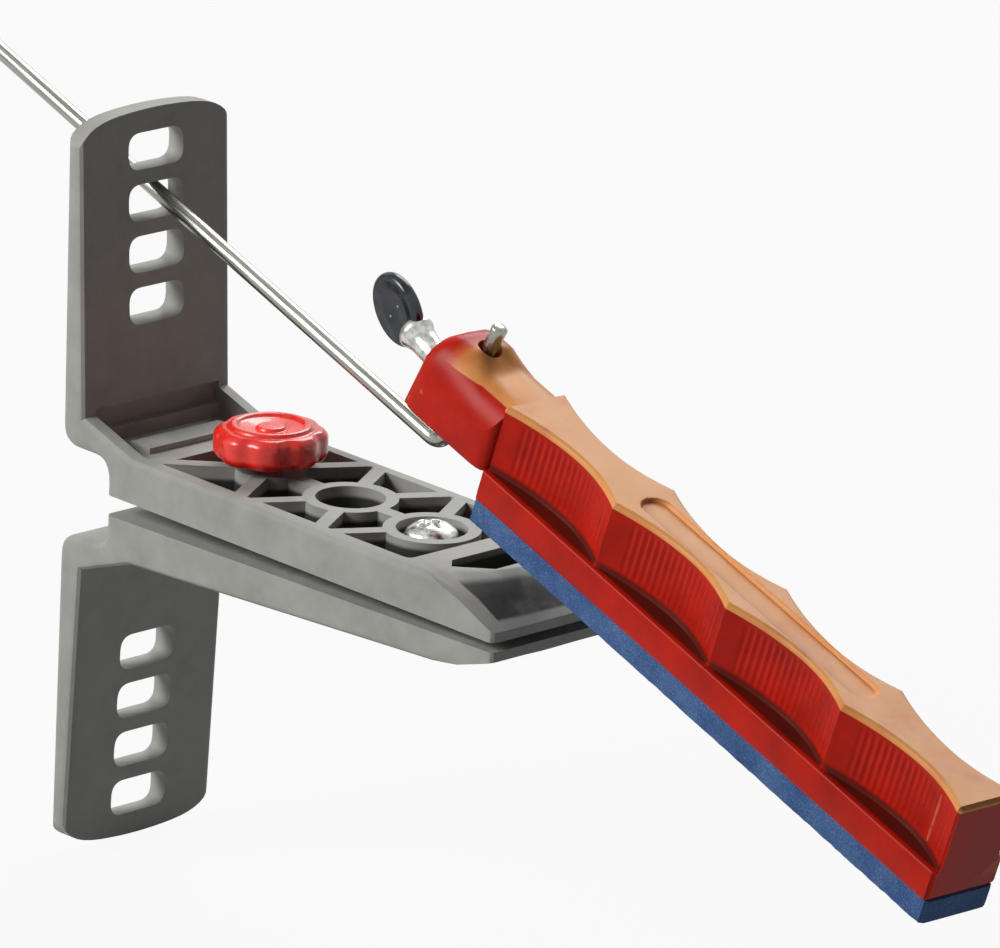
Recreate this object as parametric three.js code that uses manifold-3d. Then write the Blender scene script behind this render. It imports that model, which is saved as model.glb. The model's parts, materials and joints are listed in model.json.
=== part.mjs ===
// A guided-rod sharpening clamp with one hone, as an assembly of separate pieces.
// Millimetres, +Z up, +X towards the jaws, Y across the clamp.
// The origin is on the axis of the stand-post bore, on the underside of the lower clamp half.

import * as THREE from 'three';
import { mergeVertices } from 'three/addons/utils/BufferGeometryUtils.js';
import Module from 'manifold-3d';

const wasm = await Module();
wasm.setup();

// ---------------------------------------------------------------- driving dimensions

// Space left between two pieces that seat on each other, and one that lets a shaft run.
const seatGap = 0.3;
const runGap = 0.35;

// How far a cutting solid runs past the face it opens, and past the whole of a piece.
const past = 1;
const farPast = 20;

// Clamp halves: two castings, mating faces turned to each other. A thickness is taken at the post bore.
const clampWidth = 29.4;
const upperThickness = 6.7;
const lowerThickness = 5.65;
const lowerTaper = THREE.MathUtils.degToRad(1.9);
const jawReach = 46.0;
const jawTipThickness = 1.5;
const noseLength = 14.6;
const noseBulge = 6.6;
const noseCrown = 0.5;
const noseSections = 24;
const uprightOffset = 42.7;
const uprightHeight = 55.2;
const uprightBase = 4.7;
const uprightTop = 3.0;
const uprightLean = THREE.MathUtils.degToRad(3.4);
const uprightCrown = 1.1;
const uprightCorner = 7.5;
const edgeRound = 1.1;
const gussetRise = 3.5;
const gussetRun = 10.7;
const rearReliefRun = 5.6;
const rearReliefHeight = 5.2;
const reliefRound = 3.4;
const reliefFlat = 2.5;
const shoulderDrop = 4.1;
const crownDrop = 0.35;
const rimWidth = 2.5;
const ribWidth = 2.3;
const floorThickness = 2.4;
const noseFloor = 2.2;
const nosePocketWidth = 19.2;
const nosePocketInset = 1.7;
const nosePocketCorner = 2.0;
const nosePocketTaper = 0.55;
const webSetBack = 5.8;
const webCorner = 1.2;
const ledgeDepth = 0.6;
const upperLedgeCut = 1.0;
const lowerLedgeCut = 0.0;
const ledgeRise = 1.2;
const heelSink = 0.9;
const heelRun = 1.6;
const padInset = 4.0;
const padLength = 4.4;
const padSide = 3.4;

// Bores and bosses along the arm's centre line.
const screwPitch = 17.4;
const postBore = 10.4;
const postBossWall = 1.9;
const jawBoss = 14.4;
const knobBoss = 10.6;

// Closing of the clamp: gap between the mating faces at the jaw screw, and the tilt of the upper half.
const closingGap = 2.0;
const closingTilt = THREE.MathUtils.degToRad(1.2);

// Angle slots in each upright: a row of rounded rectangles, counted from the mating face.
const slotCount = 4;
const slotFirst = 25.4;
const slotPitch = 7.83;
const slotWidth = 10.8;
const slotHeight = 5.6;
const slotCorner = 2.3;
const rodSlot = 2;

// Jaw screw: cross-recessed pan head, shank down through the lower half.
const jawShank = 3.9;
const jawHead = 8.0;
const jawHeadHeight = 2.4;
const jawSinkDepth = 1.7;
const jawSinkWall = 1.3;
const driveWidth = 1.2;
const driveDepth = 1.0;
const driveReach = 2.4;
const headEdge = 0.84;
const headShoulderHeight = 1.92;
const screwChamfer = 0.4;
const screwFoot = 0.4;

// Clamp knob and the threaded stud moulded into it.
const knobDiameter = 17.0;
const knobHeight = 4.6;
const knobLobes = 8;
const knobScallop = 0.8;
const knobClearance = 1.5;
const knobFaceDiameter = 12.4;
const knobFaceRise = 0.6;
const knobRound = 0.7;
const knobBead = 2.0;
const knobBeadDraft = 0.4;
const knobDish = 0.5;
const studDiameter = 4.0;
const studGrip = 3.2;
const studChamfer = 0.6;

// Guide rod: long leg through the upright, short leg up through the hone's head.
const rodDiameter = 2.4;
const rodLongLeg = 158;
const rodStub = 23.8;
const rodBendRadius = 3.2;
const rodToFace = 67.0;
const rodPitch = THREE.MathUtils.degToRad(19.1);
const rodYaw = THREE.MathUtils.degToRad(-2.7);
const rodSide = 1.55;
const stubLean = THREE.MathUtils.degToRad(11);

// Hone: abrasive stone under a moulded holder with finger grooves.
const stoneLength = 101.6;
const stoneWidth = 12.7;
const stoneDepth = 3.9;
const stoneEdge = 0.5;
const stoneStart = 14.8;
const stoneBelowRod = 1.8;
const railWidth = 13.2;
const railHeight = 4.9;
const gripHeight = 10.7;
const gripWidth = 11.6;
const fingerCount = 4;
const fingerDepth = 2.7;
const fingerMiddle = 0.56;
const gripSteps = 12;
const recessStart = 26;
const recessLength = 50;
const recessWidth = 4.8;
const recessDepth = 0.6;
const recessCorner = 1.0;
const headWidth = 14.0;
const headFront = 4.2;
const headBottom = 6.3;
const headTop = 19.5;
const headCrownWidth = 5.6;
const headShoulder = 12.0;
const headRound = 0.8;
const headLap = 1.5;
const headChin = 9.5;
const headChinRise = 0.6;
const headThroat = 13.0;
const headSaddle = 3.5;
const headSaddleDrop = 0.9;
const headBackX = 10.0;
const headBackMiddle = 6.5;
const headCrownX = 1.0;
const headBrow = 1.8;
const headCrownEase = 0.4;
const headCornerDrop = 2.2;

// Thumb screw: flat round wing on a flared neck, square to the rod's short leg.
const wingDiameter = 11.4;
const wingThickness = 1.9;
const wingTurn = THREE.MathUtils.degToRad(-13);
const wingReach = 18.0;
const neckRadius = 2.9;
const neckTaper = 5.0;
const thumbShank = 3.8;
const thumbChamfer = 0.5;
const wingLap = 0.9;
const thumbHeight = 10.2;

// ---------------------------------------------------------------- derived places

const slotZ = (index) => slotFirst + index * slotPitch;
const upperLift = lowerThickness + closingGap;

// ---------------------------------------------------------------- solids

// A closed geometry as a solid that can be joined and cut.
function solid(geometry) {
  const bare = geometry.clone();
  bare.deleteAttribute('normal');
  bare.deleteAttribute('uv');
  const merged = mergeVertices(bare, 1e-5);
  const vertProperties = new Float32Array(merged.attributes.position.array);
  const triVerts = new Uint32Array(merged.index.array);
  return new wasm.Manifold(new wasm.Mesh({ numProp: 3, vertProperties, triVerts }));
}

// The solid's surface as a geometry for a mesh.
function surface(body) {
  const mesh = body.getMesh();
  const geometry = new THREE.BufferGeometry();
  geometry.setAttribute('position', new THREE.BufferAttribute(new Float32Array(mesh.vertProperties), 3));
  geometry.setIndex(new THREE.BufferAttribute(new Uint32Array(mesh.triVerts), 1));
  geometry.computeVertexNormals();
  return geometry;
}

const joined = (bodies) => bodies.reduce((whole, body) => whole.add(body));

// A shape drawn in X and Z, extruded across Y and centred on it; round softens both rims.
function acrossY(shape, width, round = 0) {
  const rim = { bevelEnabled: round > 0, bevelThickness: round, bevelSize: round, bevelOffset: -round };
  const geometry = new THREE.ExtrudeGeometry(shape, {
    depth: width - 2 * round, curveSegments: 6, bevelSegments: 3, ...rim,
  });
  geometry.rotateX(Math.PI / 2);
  geometry.translate(0, width / 2 - round, 0);
  return solid(geometry);
}

// A shape drawn in Y and Z, extruded along X from x0 to x1.
function alongX(shape, x0, x1) {
  const geometry = new THREE.ExtrudeGeometry(shape, { depth: x1 - x0, bevelEnabled: false, curveSegments: 8 });
  const turn = new THREE.Matrix4().makeBasis(
    new THREE.Vector3(0, 1, 0), new THREE.Vector3(0, 0, 1), new THREE.Vector3(1, 0, 0));
  geometry.applyMatrix4(turn);
  geometry.translate(x0, 0, 0);
  return solid(geometry);
}

// A shape drawn in X and Y, extruded up Z from z0 to z1.
function upZ(shape, z0, z1, curveSegments = 8) {
  const geometry = new THREE.ExtrudeGeometry(shape, { depth: z1 - z0, bevelEnabled: false, curveSegments });
  geometry.translate(0, 0, z0);
  return solid(geometry);
}

function box(x0, x1, y0, y1, z0, z1) {
  const geometry = new THREE.BoxGeometry(x1 - x0, y1 - y0, z1 - z0);
  geometry.translate((x0 + x1) / 2, (y0 + y1) / 2, (z0 + z1) / 2);
  return solid(geometry);
}

// An upright cylinder, or a cone when the top radius differs.
function post(x, y, radius, z0, z1, sides = 32, topRadius = radius) {
  const geometry = new THREE.CylinderGeometry(topRadius, radius, z1 - z0, sides);
  geometry.rotateX(Math.PI / 2);
  geometry.translate(x, y, (z0 + z1) / 2);
  return solid(geometry);
}

// A rounded rectangle about a centre, as a shape.
function roundedRectangle(centreX, centreY, width, height, corner) {
  const left = centreX - width / 2;
  const bottom = centreY - height / 2;
  const shape = new THREE.Shape();
  shape.moveTo(left + corner, bottom);
  shape.lineTo(left + width - corner, bottom);
  shape.quadraticCurveTo(left + width, bottom, left + width, bottom + corner);
  shape.lineTo(left + width, bottom + height - corner);
  shape.quadraticCurveTo(left + width, bottom + height, left + width - corner, bottom + height);
  shape.lineTo(left + corner, bottom + height);
  shape.quadraticCurveTo(left, bottom + height, left, bottom + height - corner);
  shape.lineTo(left, bottom + corner);
  shape.quadraticCurveTo(left, bottom, left + corner, bottom);
  return shape;
}

// A rib of the arm's web: a bar from a boss centre, at an angle in the XY plane.
function rib(fromX, angleDegrees, length, z0, z1) {
  const geometry = new THREE.BoxGeometry(length, ribWidth, z1 - z0);
  geometry.translate(length / 2, 0, (z0 + z1) / 2);
  geometry.rotateZ(THREE.MathUtils.degToRad(angleDegrees));
  geometry.translate(fromX, 0, 0);
  return solid(geometry);
}

// ---------------------------------------------------------------- clamp half
// Each half is drawn with its mating face on z = 0 and its outer face above it.

const heelX = gussetRun - uprightOffset;
const noseX = jawReach - noseLength;

// What differs between the two castings, and the places that follow from it.
function castingPlan(thickness, taper, ledgeCut) {
  const outerZ = (x) => thickness - Math.tan(taper) * x;
  const gussetTop = outerZ(heelX) + gussetRise;
  const innerTopX = -uprightOffset - Math.tan(uprightLean) * (uprightHeight - gussetTop);
  return { outerZ, gussetTop, innerTopX, ledgeCut };
}

// The upright's outer face leans from the rear relief to the top edge.
const outerFoot = rearReliefHeight + reliefRound;
const outerFaceX = (z, plan) => THREE.MathUtils.mapLinear(
  z, outerFoot, uprightHeight, -uprightOffset - uprightBase, plan.innerTopX - uprightTop);

// Side view of one half, from the rear relief to the jaw tip.
function sideProfile(plan) {
  const face = -uprightOffset;
  const below = -4 * edgeRound; // the outline rounds its own lower rim clear of the mating face
  const reliefEnd = face + rearReliefRun;
  const shape = new THREE.Shape();
  shape.moveTo(reliefEnd, below);
  shape.lineTo(jawReach, below);
  shape.lineTo(jawReach, plan.outerZ(jawReach));
  shape.lineTo(heelX, plan.outerZ(heelX));
  shape.lineTo(face, plan.gussetTop);
  shape.lineTo(plan.innerTopX, uprightHeight);
  shape.lineTo(outerFaceX(uprightHeight, plan), uprightHeight);
  shape.lineTo(outerFaceX(outerFoot, plan), outerFoot);
  shape.quadraticCurveTo(face - uprightBase, rearReliefHeight, face - uprightBase / 4, rearReliefHeight);
  shape.lineTo(face + reliefFlat, rearReliefHeight);
  shape.quadraticCurveTo(reliefEnd, rearReliefHeight, reliefEnd, rearReliefHeight / 3);
  return shape;
}

// The nose's bevel: a ruled face from a bowed edge on the outer face down to the straight jaw tip.
// Each section across Y is a closed outline in X and Z; the solid is everything to keep.
function noseEnvelope(plan) {
  const half = clampWidth / 2 + past;
  const top = uprightHeight + farPast;
  const rear = -uprightOffset - farPast;
  const positions = [];
  for (let index = 0; index <= noseSections; index += 1) {
    const y = THREE.MathUtils.lerp(-half, half, index / noseSections);
    const bow = noseBulge * Math.max(0, 1 - (2 * y / clampWidth) ** 2);
    const edgeX = noseX + bow;
    const edgeZ = plan.outerZ(edgeX);
    const middleX = (edgeX + jawReach) / 2;
    const middleZ = (edgeZ + jawTipThickness) / 2 + noseCrown;
    const outline = [
      [rear, -past], [jawReach, -past], [jawReach, jawTipThickness], [middleX, middleZ], [edgeX, edgeZ],
      [edgeX - past, top], [rear, top],
    ];
    positions.push(...outline.map(([x, z]) => [x, y, z]));
  }
  return loft(positions, noseSections + 1);
}

// Sections of equally many points, joined in order and closed at both ends.
function loft(positions, sectionCount) {
  const around = positions.length / sectionCount;
  const triangles = [];
  for (let row = 0; row < sectionCount - 1; row += 1) {
    for (let column = 0; column < around; column += 1) {
      const next = (column + 1) % around;
      const [a, b] = [row * around + column, row * around + next];
      triangles.push(a, a + around, b, b, a + around, b + around);
    }
  }
  const outline = positions.slice(0, around).map(([x, , z]) => new THREE.Vector2(x, z));
  const last = positions.length - around;
  for (const [a, b, c] of THREE.ShapeUtils.triangulateShape(outline, [])) {
    triangles.push(a, b, c, last + a, last + c, last + b);
  }
  const geometry = new THREE.BufferGeometry();
  geometry.setAttribute('position', new THREE.Float32BufferAttribute(positions.flat(), 3));
  geometry.setIndex(triangles);
  return solid(geometry);
}

// Front view: full width, with the crowned and rounded top of the upright.
function frontOutline() {
  const half = clampWidth / 2;
  const shoulder = uprightHeight - uprightCrown;
  const corner = uprightHeight - crownDrop;
  const shape = new THREE.Shape();
  shape.moveTo(-half, 0);
  shape.lineTo(half, 0);
  shape.lineTo(half, shoulder - shoulderDrop);
  shape.quadraticCurveTo(half, shoulder, half - uprightCorner, corner);
  shape.quadraticCurveTo(0, uprightHeight + crownDrop, uprightCorner - half, corner);
  shape.quadraticCurveTo(-half, shoulder, -half, shoulder - shoulderDrop);
  return shape;
}

// The web of ribs and bosses that stands between the two rims of the arm.
function armWeb(z0, z1) {
  const reach = clampWidth;
  const ribAngles = [60, 120, -60, -120];
  const fromPost = ribAngles.map((angle) => rib(0, angle, reach, z0, z1));
  const fromJaw = [120, -120].map((angle) => rib(screwPitch, angle, reach, z0, z1));
  const fromKnob = [60, -60, 135, -135].map((angle) => rib(-screwPitch, angle, reach, z0, z1));
  const spine = box(-screwPitch, screwPitch, -ribWidth / 2, ribWidth / 2, z0, z1);
  const bosses = [
    post(0, 0, postBore / 2 + postBossWall, z0, z1, 40),
    post(screwPitch, 0, jawBoss / 2, z0, z1, 40),
    post(-screwPitch, 0, knobBoss / 2, z0, z1, 32),
  ];
  return joined([...fromPost, ...fromJaw, ...fromKnob, spine, ...bosses]);
}

// Everything cut from the outer face of the arm: web pockets, heel recess and nose pocket.
function armPockets(plan) {
  const inner = clampWidth / 2 - rimWidth;
  const above = plan.gussetTop + past;
  const heelEnd = heelX + heelRun;
  const heelZ = plan.outerZ(heelEnd);
  const webStart = heelEnd + ribWidth;
  const webEnd = noseX - webSetBack;
  const webArea = upZ(roundedRectangle(
    (webStart + webEnd) / 2, 0, webEnd - webStart, 2 * inner, webCorner), floorThickness, above, 3);
  const web = webArea.subtract(armWeb(floorThickness - past, above + past));
  const recessX = -uprightOffset + ledgeDepth;
  const ledge = box(-uprightOffset - plan.ledgeCut, recessX, -inner, inner, heelZ + ledgeRise, above);
  const heel = box(recessX, heelEnd, -inner, inner, heelZ - heelSink, above);
  const padX = -uprightOffset + padInset;
  const pad = box(padX, padX + padLength, -inner + padSide, inner - padSide, heelZ - 2 * heelSink, heelZ);
  const openTop = box(heelEnd, webStart + past, -inner, inner, heelZ, above);
  return joined([web, ledge, heel.subtract(pad), openTop, nosePocket()]);
}

// The pocket in the jaw's nose, tapering to the front inside the bowed edge.
function nosePocket() {
  const half = nosePocketWidth / 2;
  const rear = noseX - nosePocketInset;
  const front = noseX + noseBulge - nosePocketInset;
  const shape = new THREE.Shape();
  shape.moveTo(rear, nosePocketCorner - half);
  shape.lineTo(rear + nosePocketCorner, -half);
  shape.lineTo(front, -half * nosePocketTaper);
  shape.lineTo(front, half * nosePocketTaper);
  shape.lineTo(rear + nosePocketCorner, half);
  shape.lineTo(rear, half - nosePocketCorner);
  return upZ(shape, noseFloor, upperThickness + past);
}

function slotRow() {
  const rear = -uprightOffset - farPast;
  const slots = Array.from({ length: slotCount }, (_, index) => alongX(
    roundedRectangle(0, slotZ(index), slotWidth, slotHeight, slotCorner), rear, -uprightOffset + past));
  return joined(slots);
}

// The bare casting of either half, mating face down on z = 0.
function clampCasting(plan) {
  const blank = acrossY(sideProfile(plan), clampWidth, edgeRound);
  const outline = alongX(frontOutline(), -uprightOffset - farPast, jawReach + past);
  const bore = post(0, 0, postBore / 2, -past, plan.gussetTop, 48);
  return blank.intersect(outline).intersect(noseEnvelope(plan)).subtract(
    joined([armPockets(plan), slotRow(), bore]));
}

const upperPlan = castingPlan(upperThickness, 0, upperLedgeCut);
const lowerPlan = castingPlan(lowerThickness, lowerTaper, lowerLedgeCut);

// The upper half takes the jaw screw's sunk head and the knob's stud.
function upperHalf() {
  const sink = jawHead / 2 + jawSinkWall;
  const above = upperThickness + past;
  const cuts = [
    post(screwPitch, 0, jawShank / 2 + runGap, -past, above),
    post(screwPitch, 0, sink, upperThickness - jawSinkDepth, above, 40),
    post(-screwPitch, 0, studDiameter / 2 + runGap, -past, above),
  ];
  return clampCasting(upperPlan).subtract(joined(cuts));
}

// The lower half is threaded for the jaw screw and left whole where the stud bears.
function lowerHalf() {
  const thread = post(screwPitch, 0, jawShank / 2 + seatGap, -past, lowerThickness + past);
  return clampCasting(lowerPlan).subtract(thread);
}

// ---------------------------------------------------------------- screws and knob

// Heights here are measured from the lower half's underside, which is z = 0.
const jawSeatZ = upperLift + upperThickness - jawSinkDepth;

function jawScrew() {
  const seat = jawSeatZ + seatGap;
  const radius = jawHead / 2;
  const top = seat + jawHeadHeight;
  const profile = [
    new THREE.Vector2(0, screwFoot),
    new THREE.Vector2(jawShank / 2 - screwChamfer, screwFoot),
    new THREE.Vector2(jawShank / 2, screwFoot + screwChamfer),
    new THREE.Vector2(jawShank / 2, seat),
    new THREE.Vector2(radius, seat),
    new THREE.Vector2(radius, seat + headEdge),
    new THREE.Vector2((radius + driveReach) / 2, seat + headShoulderHeight),
    new THREE.Vector2(0, top),
  ];
  const body = turned(profile, 32);
  const floor = top - driveDepth;
  const half = driveWidth / 2;
  const cross = box(-driveReach, driveReach, -half, half, floor, top + past).add(
    box(-half, half, -driveReach, driveReach, floor, top + past));
  return body.subtract(cross).translate([screwPitch, 0, 0]);
}

// A profile of radius and height, revolved about Z.
function turned(profile, segments) {
  const geometry = new THREE.LatheGeometry(profile, segments);
  geometry.rotateX(Math.PI / 2);
  return solid(geometry);
}

const knobX = -screwPitch;
const knobBase = upperLift + upperThickness + (screwPitch * 2) * Math.tan(closingTilt) + knobClearance;

// The lobed rim: a radius that dips between the lobes.
function knobOutline() {
  const steps = knobLobes * 10;
  const points = Array.from({ length: steps }, (_, index) => {
    const angle = (index / steps) * 2 * Math.PI;
    const dip = knobScallop * (0.5 - 0.5 * Math.cos(knobLobes * angle)) ** 2;
    const radius = knobDiameter / 2 - dip;
    return new THREE.Vector2(radius * Math.cos(angle), radius * Math.sin(angle));
  });
  return new THREE.Shape(points);
}

function clampKnob() {
  const rim = new THREE.ExtrudeGeometry(knobOutline(), {
    depth: knobHeight - 2 * knobRound, bevelThickness: knobRound, bevelSize: knobRound,
    bevelOffset: -knobRound, bevelSegments: 2,
  });
  rim.translate(0, 0, knobRound);
  const faceTop = knobHeight + knobFaceRise;
  const face = post(0, 0, knobFaceDiameter / 2, knobHeight - past, faceTop, 40,
    knobFaceDiameter / 2 - knobBeadDraft);
  const dish = post(0, 0, knobFaceDiameter / 2 - knobBead, faceTop - knobDish, faceTop + past, 40);
  const socket = post(0, 0, studDiameter / 2 + seatGap, -past, studGrip + seatGap);
  return solid(rim).add(face).subtract(dish).subtract(socket).translate([knobX, 0, knobBase]);
}

// The stud runs from inside the knob, through the upper half, to the lower half's mating face.
function clampStud() {
  const foot = lowerThickness + seatGap;
  const head = knobBase + studGrip;
  const radius = studDiameter / 2;
  const profile = [
    new THREE.Vector2(0, foot),
    new THREE.Vector2(radius - studChamfer, foot),
    new THREE.Vector2(radius, foot + studChamfer),
    new THREE.Vector2(radius, head),
    new THREE.Vector2(0, head),
  ];
  return turned(profile, 28).translate([knobX, 0, 0]);
}

// ---------------------------------------------------------------- rod and hone
// In this group +X runs along the rod towards the hone's tail, +Z up from the rod's axis,
// and the origin is where the axes of the rod's two legs cross.

function roundBar(path, steps) {
  const section = new THREE.Shape();
  section.absarc(0, 0, rodDiameter / 2, 0, 2 * Math.PI);
  const geometry = new THREE.ExtrudeGeometry(section, { steps, extrudePath: path, curveSegments: 8 });
  return solid(geometry);
}

// Point on the short leg, measured from the crossing of the axes.
const stubPoint = (distance) => new THREE.Vector3(
  distance * Math.sin(stubLean), 0, distance * Math.cos(stubLean));

class BendArc extends THREE.Curve {
  getPoint(t, target = new THREE.Vector3()) {
    const turn = Math.PI / 2 - stubLean;
    const angle = t * turn;
    const setBack = rodBendRadius * Math.tan(turn / 2);
    return target.set(
      rodBendRadius * Math.sin(angle) - setBack, 0, rodBendRadius * (1 - Math.cos(angle)));
  }
}

function guideRod() {
  const setBack = rodBendRadius * Math.tan((Math.PI / 2 - stubLean) / 2);
  const overlap = 0.05;
  const longLeg = new THREE.LineCurve3(
    new THREE.Vector3(-rodLongLeg, 0, 0), new THREE.Vector3(overlap - setBack, 0, 0));
  const stub = new THREE.LineCurve3(stubPoint(setBack - overlap), stubPoint(rodStub));
  return joined([roundBar(longLeg, 1), roundBar(new BendArc(), 8), roundBar(stub, 1)]);
}

const stoneBottom = -stoneBelowRod;
const railBottom = stoneBottom + stoneDepth;
const railTop = railBottom + railHeight;
const gripTop = railTop + gripHeight;
const stoneEnd = stoneStart + stoneLength;
const gripHalf = gripWidth / 2;

// The abrasive bar with eased lower edges, glued under the rail.
function honeStone() {
  const half = stoneWidth / 2;
  const top = railBottom - seatGap;
  const shape = new THREE.Shape([
    new THREE.Vector2(-half + stoneEdge, stoneBottom),
    new THREE.Vector2(half - stoneEdge, stoneBottom),
    new THREE.Vector2(half, stoneBottom + stoneEdge),
    new THREE.Vector2(half, top),
    new THREE.Vector2(-half, top),
    new THREE.Vector2(-half, stoneBottom + stoneEdge),
  ]);
  return alongX(shape, stoneStart, stoneEnd);
}

// Plan of the grip: a row of finger arcs along each side, meeting in ridges.
function gripOutline() {
  const pitch = stoneLength / fingerCount;
  const points = [];
  const waist = (along) => {
    const share = (along / pitch) % 1;
    const reach = share < fingerMiddle ? fingerMiddle : 1 - fingerMiddle;
    return gripHalf - fingerDepth * (1 - ((share - fingerMiddle) / reach) ** 2);
  };
  const count = fingerCount * gripSteps;
  for (let index = 0; index <= count; index += 1) {
    const along = (index / count) * stoneLength;
    points.push(new THREE.Vector2(stoneStart + along, -waist(index === count ? 0 : along)));
  }
  const far = points.map((point) => new THREE.Vector2(point.x, -point.y)).reverse();
  return new THREE.Shape([...points, ...far]);
}

// Side view of the head that takes the rod's short leg.
function headProfile() {
  const tail = stoneStart + headLap;
  const ledge = railTop - headLap;
  const slope = Math.tan(stubLean);
  const browX = slope * (headTop - headBottom - headBrow) - headFront;
  const shape = new THREE.Shape();
  shape.moveTo(-headFront, headBottom);
  shape.lineTo(headChin, headBottom);
  shape.quadraticCurveTo(headThroat, headBottom + headChinRise, stoneStart, ledge);
  shape.lineTo(tail, ledge);
  shape.lineTo(tail, gripTop);
  shape.lineTo(headBackX, gripTop);
  shape.quadraticCurveTo(headBackMiddle, gripTop, headSaddle, headTop - headSaddleDrop);
  shape.lineTo(headCrownX, headTop);
  shape.quadraticCurveTo(browX, headTop, browX, headTop - headBrow);
  return shape;
}

// Front view of the head: straight sides that round over to a narrow crown.
function headSection() {
  const half = headWidth / 2;
  const crown = headCrownWidth / 2;
  const shape = new THREE.Shape();
  shape.moveTo(-half, 0);
  shape.lineTo(half, 0);
  shape.lineTo(half, headShoulder);
  shape.quadraticCurveTo(half, headTop - headCornerDrop, crown, headTop - headCrownEase);
  shape.quadraticCurveTo(0, headTop + headCrownEase, -crown, headTop - headCrownEase);
  shape.quadraticCurveTo(-half, headTop - headCornerDrop, -half, headShoulder);
  return shape;
}

// A cylinder along the short leg's axis, between two distances from the crossing.
function stubCylinder(radius, from, to) {
  const geometry = new THREE.CylinderGeometry(radius, radius, to - from, 28);
  geometry.rotateX(Math.PI / 2);
  geometry.translate(0, 0, (from + to) / 2);
  geometry.rotateY(stubLean);
  return solid(geometry);
}

// A lathe profile turned about the thumb screw's axis; height 0 is on the short leg's axis.
function onThumbAxis(body) {
  const turnedOver = body.rotate([0, -90, 0]);
  const raised = turnedOver.translate([0, 0, thumbHeight]);
  return raised.rotate([0, THREE.MathUtils.radToDeg(stubLean), 0]);
}

function honeHolder() {
  const railHalf = railWidth / 2;
  const rail = box(stoneStart, stoneEnd, -railHalf, railHalf, railBottom, railTop);
  const grip = upZ(gripOutline(), railTop - past, gripTop);
  const head = acrossY(headProfile(), headWidth, headRound).intersect(
    alongX(headSection(), -farPast, stoneStart + farPast));
  const recess = upZ(roundedRectangle(
    stoneStart + recessStart + recessLength / 2, 0, recessLength, recessWidth, recessCorner),
  gripTop - recessDepth, gripTop + past);
  const rodHole = stubCylinder(rodDiameter / 2 + seatGap, 0, rodStub + past);
  const screwHole = onThumbAxis(post(0, 0, thumbShank / 2 + seatGap, 0, wingReach, 24));
  return joined([rail, grip, head]).subtract(joined([recess, rodHole, screwHole]));
}

// Wing, flared neck and shank; the tip stops just short of the rod.
function thumbScrew() {
  const tip = rodDiameter / 2 + seatGap;
  const shank = thumbShank / 2;
  const collar = wingReach - wingDiameter / 2 + wingLap;
  const profile = [
    new THREE.Vector2(0, tip),
    new THREE.Vector2(shank - thumbChamfer, tip),
    new THREE.Vector2(shank, tip + thumbChamfer),
    new THREE.Vector2(shank, collar - neckTaper),
    new THREE.Vector2((2 * shank + neckRadius) / 3, collar - neckTaper / 3),
    new THREE.Vector2(neckRadius, collar),
    new THREE.Vector2(0, collar + wingLap),
  ];
  const wingGeometry = new THREE.CylinderGeometry(wingDiameter / 2, wingDiameter / 2, wingThickness, 40);
  wingGeometry.rotateZ(wingTurn);
  wingGeometry.translate(0, 0, wingReach);
  const wing = solid(wingGeometry);
  return onThumbAxis(turned(profile, 28).add(wing));
}

// ---------------------------------------------------------------- assembly

const finish = (color, roughness, metalness) => new THREE.MeshStandardMaterial({ color, roughness, metalness });
const castAluminium = finish(0x9a9a94, 0.5, 0.9);
const redPlastic = finish(0xb01c0c, 0.35, 0);
const brightSteel = finish(0xc8c8c8, 0.25, 1);
const blueAbrasive = finish(0x3b5b92, 0.95, 0);
const darkSteel = finish(0x2c2f33, 0.3, 0.9);

function piece(name, body, material) {
  const mesh = new THREE.Mesh(surface(body), material);
  mesh.name = name;
  return mesh;
}

const assembly = new THREE.Group();

const lower = new THREE.Group();
lower.rotation.x = Math.PI;
lower.position.z = lowerThickness;
lower.add(piece('lower_clamp_half', lowerHalf(), castAluminium));

// The upper half turns about a cross axis through the jaw screw, at the mating face.
const upper = new THREE.Group();
const upperCasting = piece('upper_clamp_half', upperHalf(), castAluminium);
upperCasting.position.x = -screwPitch;
upper.position.set(screwPitch, 0, upperLift);
upper.rotation.y = closingTilt;
upper.add(upperCasting);

const screws = new THREE.Group();
screws.add(
  piece('jaw_screw', jawScrew(), brightSteel),
  piece('clamp_knob', clampKnob(), redPlastic),
  piece('clamp_stud', clampStud(), brightSteel),
);

// The rod rides up against the top edge of its slot, where that edge meets the upright's outer face.
const slotTop = slotZ(rodSlot) + slotHeight / 2;
const slotEdge = new THREE.Vector3(outerFaceX(slotTop, upperPlan) - screwPitch, 0, slotTop)
  .applyAxisAngle(new THREE.Vector3(0, 1, 0), closingTilt)
  .add(new THREE.Vector3(screwPitch, 0, upperLift));
const rodHeight = slotEdge.z + (slotEdge.x + uprightOffset) * Math.tan(rodPitch)
  - (rodDiameter / 2 + seatGap) / Math.cos(rodPitch);

// It runs down and forward from there, and the hone hangs on its short leg.
const hone = new THREE.Group();
hone.rotation.order = 'ZYX';
hone.rotation.set(0, rodPitch, rodYaw);
hone.position.set(-uprightOffset, rodSide, rodHeight).add(
  new THREE.Vector3(rodToFace, 0, 0).applyEuler(hone.rotation));
hone.add(
  piece('guide_rod', guideRod(), brightSteel),
  piece('hone_holder', honeHolder(), redPlastic),
  piece('hone_stone', honeStone(), blueAbrasive),
  piece('thumb_screw', thumbScrew(), darkSteel),
);

assembly.add(lower, upper, screws, hone);

export default assembly;
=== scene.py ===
"""Looks for a guided-rod sharpening clamp: two cast halves, a knob, a rod and one red hone.

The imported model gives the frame. Sizes here are millimetres unless a name says otherwise, and
each piece is built in its own local axes and then carried into the frame in metres.
"""

from __future__ import annotations

import json
import logging
import math
from collections.abc import Mapping, Sequence
from dataclasses import dataclass
from enum import Enum
from functools import cached_property
from typing import Any

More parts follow.
